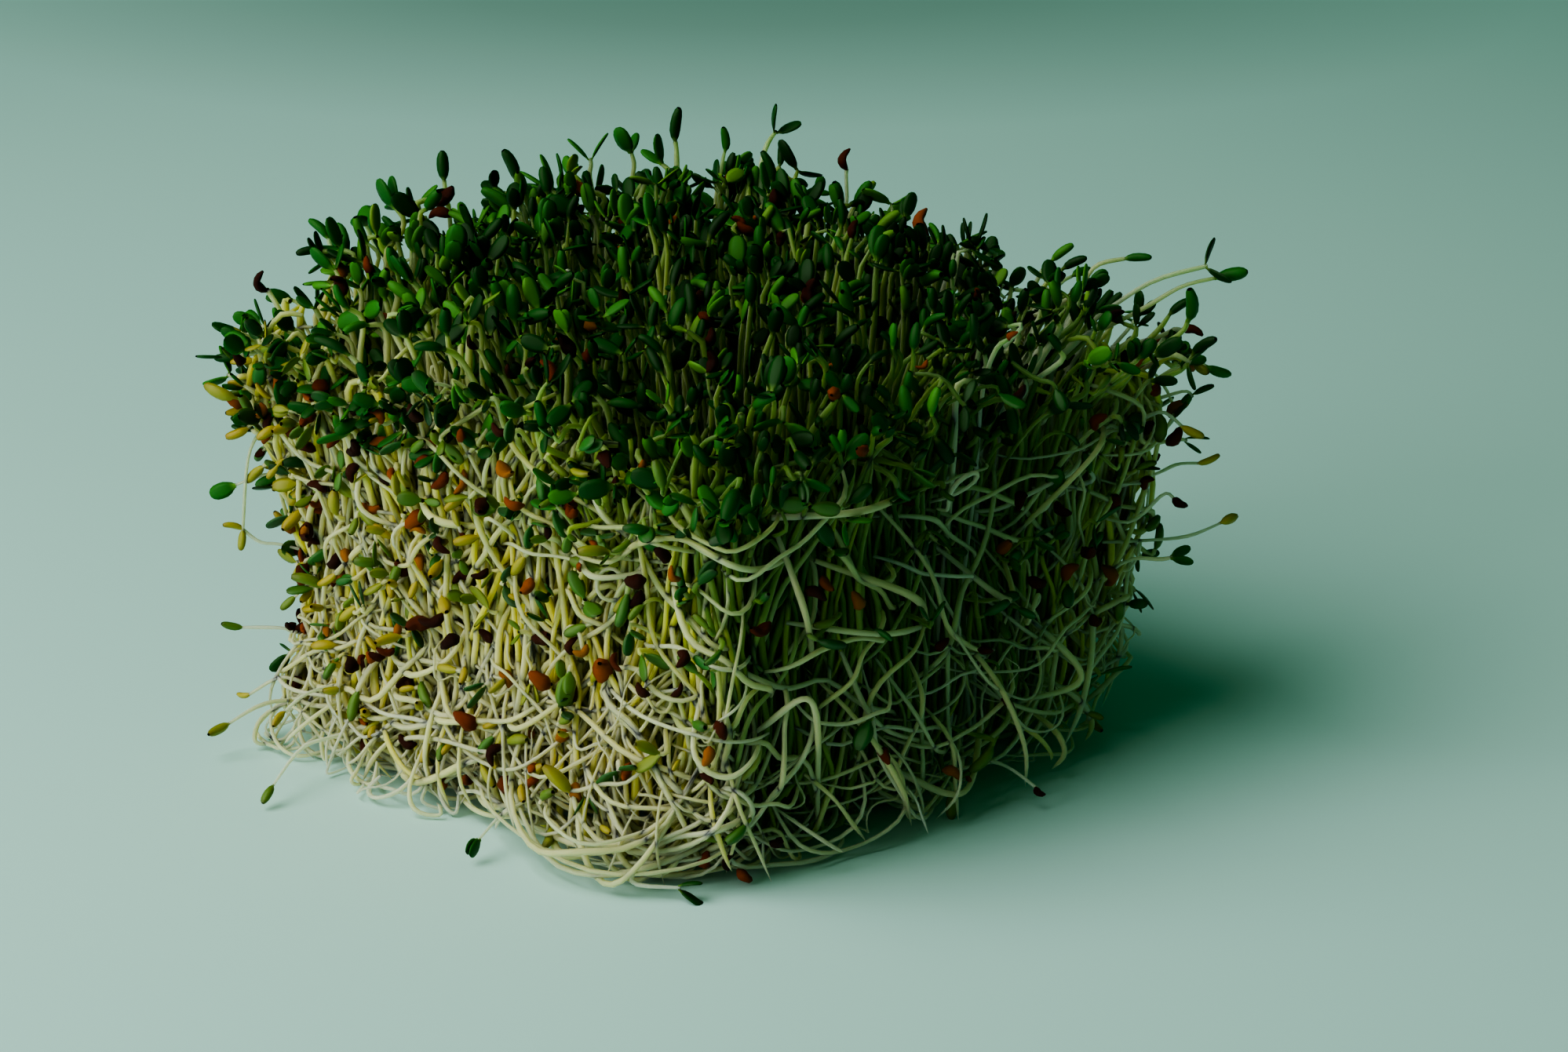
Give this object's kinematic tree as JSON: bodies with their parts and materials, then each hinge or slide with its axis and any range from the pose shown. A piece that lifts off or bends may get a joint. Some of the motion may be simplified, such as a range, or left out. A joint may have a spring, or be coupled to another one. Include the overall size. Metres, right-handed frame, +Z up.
{
  "type": "pile of alfalfa sprouts",
  "caption": "A dense upright block of alfalfa sprouts: dark green seed leaves over a mass of pale stems, with a tangle of white roots at its foot.",
  "frame": {"origin": "middle of the whole pile's box, at the level that it rests on", "axes": "+Z up through the leaves, -Y the side that is lit in the picture, +X the shaded side to its right"},
  "size_m": [0.1217, 0.1286, 0.0882],
  "materials": {
    "stems_r1c1": "moist, half see-through plant stems and roots, cream white at the foot and pale green towards the leaves, with yellow shut seed leaves and red-brown seed coats",
    "stems_r1c2": "moist, half see-through plant stems and roots, cream white at the foot and pale green towards the leaves, with yellow shut seed leaves and red-brown seed coats",
    "stems_r1c3": "moist, half see-through plant stems and roots, cream white at the foot and pale green towards the leaves, with yellow shut seed leaves and red-brown seed coats",
    "stems_r2c1": "moist, half see-through plant stems and roots, cream white at the foot and pale green towards the leaves, with yellow shut seed leaves and red-brown seed coats",
    "stems_r2c2": "moist, half see-through plant stems and roots, cream white at the foot and pale green towards the leaves, with yellow shut seed leaves and red-brown seed coats",
    "stems_r2c3": "moist, half see-through plant stems and roots, cream white at the foot and pale green towards the leaves, with yellow shut seed leaves and red-brown seed coats",
    "stems_r3c1": "moist, half see-through plant stems and roots, cream white at the foot and pale green towards the leaves, with yellow shut seed leaves and red-brown seed coats",
    "stems_r3c2": "moist, half see-through plant stems and roots, cream white at the foot and pale green towards the leaves, with yellow shut seed leaves and red-brown seed coats",
    "stems_r3c3": "moist, half see-through plant stems and roots, cream white at the foot and pale green towards the leaves, with yellow shut seed leaves and red-brown seed coats",
    "leaves_r1c1": "waxy dark green seed leaves with a soft gloss, on pale green stalks",
    "leaves_r1c2": "waxy dark green seed leaves with a soft gloss, on pale green stalks",
    "leaves_r1c3": "waxy dark green seed leaves with a soft gloss, on pale green stalks",
    "leaves_r2c1": "waxy dark green seed leaves with a soft gloss, on pale green stalks",
    "leaves_r2c2": "waxy dark green seed leaves with a soft gloss, on pale green stalks",
    "leaves_r2c3": "waxy dark green seed leaves with a soft gloss, on pale green stalks",
    "leaves_r3c1": "waxy dark green seed leaves with a soft gloss, on pale green stalks",
    "leaves_r3c2": "waxy dark green seed leaves with a soft gloss, on pale green stalks",
    "leaves_r3c3": "waxy dark green seed leaves with a soft gloss, on pale green stalks"
  },
  "bodies": {
    "root": {"stems_r1c1": "stems_r1c1", "stems_r1c2": "stems_r1c2", "stems_r1c3": "stems_r1c3", "stems_r2c1": "stems_r2c1", "stems_r2c2": "stems_r2c2", "stems_r2c3": "stems_r2c3", "stems_r3c1": "stems_r3c1", "stems_r3c2": "stems_r3c2", "stems_r3c3": "stems_r3c3", "leaves_r1c1": "leaves_r1c1", "leaves_r1c2": "leaves_r1c2", "leaves_r1c3": "leaves_r1c3", "leaves_r2c1": "leaves_r2c1", "leaves_r2c2": "leaves_r2c2", "leaves_r2c3": "leaves_r2c3", "leaves_r3c1": "leaves_r3c1", "leaves_r3c2": "leaves_r3c2", "leaves_r3c3": "leaves_r3c3"}
  },
  "joints": []
}
